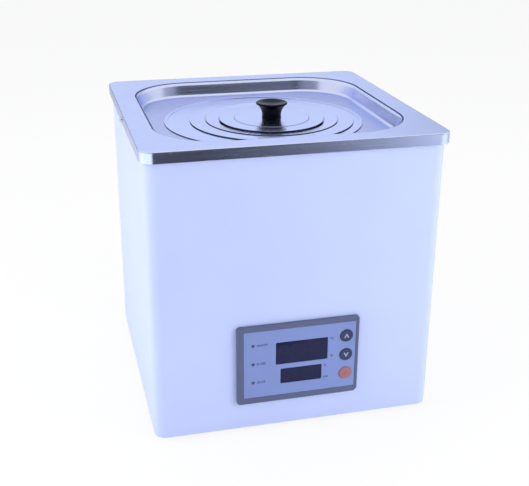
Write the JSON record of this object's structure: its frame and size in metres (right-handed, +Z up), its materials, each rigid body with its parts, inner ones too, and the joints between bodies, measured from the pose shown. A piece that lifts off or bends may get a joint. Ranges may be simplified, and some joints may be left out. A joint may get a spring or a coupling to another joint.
{
  "type": "laboratory water bath",
  "caption": "Bench water bath with painted casing, steel tray top, nested rings, lid with black knob, front temperature controller and rear drain tap.",
  "frame": {"origin": "on the table, under the centre of the whole footprint, drain spigot included", "axes": "+Z up, -Y out of the front with the controller, +X to the right as seen from the front"},
  "size_m": [0.2836, 0.324, 0.2883],
  "materials": {
    "casing_paint": "satin",
    "zinc_sheet": "satin",
    "stainless": "brushed",
    "screw_steel": "polished",
    "brass": "satin",
    "knob_plastic": "gloss",
    "bezel_plastic": "satin",
    "face_foil": "satin",
    "window_plastic": "gloss",
    "display_dark": "matt",
    "slate_button": "satin",
    "red_button": "satin",
    "lamp_lens": "gloss",
    "black_plastic": "satin",
    "grey_plastic": "matt",
    "board": "satin",
    "rubber": "matt",
    "tube_rubber": "satin",
    "glass_wool": "matt",
    "lever_plastic": "satin",
    "rocker_plastic": "satin"
  },
  "bodies": {
    "casing": {"base_plate": "zinc_sheet", "base_screws": "screw_steel", "bezel": "bezel_plastic", "button_switches": "display_dark", "controller_case": "black_plastic", "controller_clamps": "grey_plastic", "cover_screws": "screw_steel", "display_board": "board", "drain_outlet": "brass", "drain_tube": "tube_rubber", "face_plate": "face_foil", "feet": "rubber", "foot_screws": "screw_steel", "fuse_cap": "black_plastic", "fuse_holder": "black_plastic", "fuse_nut": "black_plastic", "heater": "stainless", "heater_bushes": "brass", "housing": "casing_paint", "indicator_leds": "lamp_lens", "inlet_pins": "brass", "knob_screw": "screw_steel", "knob_washer": "screw_steel", "lid": "stainless", "lid_knob": "knob_plastic", "lower_display": "display_dark", "lower_window": "window_plastic", "power_board": "board", "power_inlet": "black_plastic", "probe": "stainless", "rear_cover": "casing_paint", "relay": "black_plastic", "ring_1": "stainless", "ring_2": "stainless", "ring_3": "stainless", "shelf": "stainless", "switch_frame": "black_plastic", "switch_terminals": "brass", "tank": "stainless", "tank_gaskets": "rubber", "tank_insulation": "glass_wool", "tank_nuts": "brass", "tap_body": "brass", "tap_gasket": "rubber", "tap_nut": "brass", "terminal_block": "grey_plastic", "top_plate": "stainless", "top_plate_screws": "screw_steel", "transformer": "grey_plastic", "upper_display": "display_dark", "upper_window": "window_plastic"},
    "up_button": {"up_button": "slate_button"},
    "down_button": {"down_button": "slate_button"},
    "set_button": {"set_button": "red_button"},
    "rocker": {"switch_rocker": "rocker_plastic"},
    "tap_handle": {"tap_plug": "brass", "tap_lever": "lever_plastic", "tap_lever_screw": "screw_steel"}
  },
  "joints": [
    {"name": "up_button_press", "type": "slide", "parent": "casing", "child": "up_button", "axis": [0, 1, 0], "range_m": [0, 0.0006], "stiffness_N_per_m": 1600, "springref_m": -0.0003},
    {"name": "down_button_press", "type": "slide", "parent": "casing", "child": "down_button", "axis": [0, 1, 0], "range_m": [0, 0.0006], "stiffness_N_per_m": 1600, "springref_m": -0.0003},
    {"name": "set_button_press", "type": "slide", "parent": "casing", "child": "set_button", "axis": [0, 1, 0], "range_m": [0, 0.0006], "stiffness_N_per_m": 1600, "springref_m": -0.0003},
    {"name": "mains_switch", "type": "hinge", "parent": "casing", "child": "rocker", "pos_m": [-0.07, 0.11395, 0.083], "axis": [1, 0, 0], "range_deg": [0, 18]},
    {"name": "drain_tap", "type": "hinge", "parent": "casing", "child": "tap_handle", "pos_m": [0.07, 0.13045, 0.045], "axis": [0, 0, 1], "range_deg": [0, 90]}
  ]
}
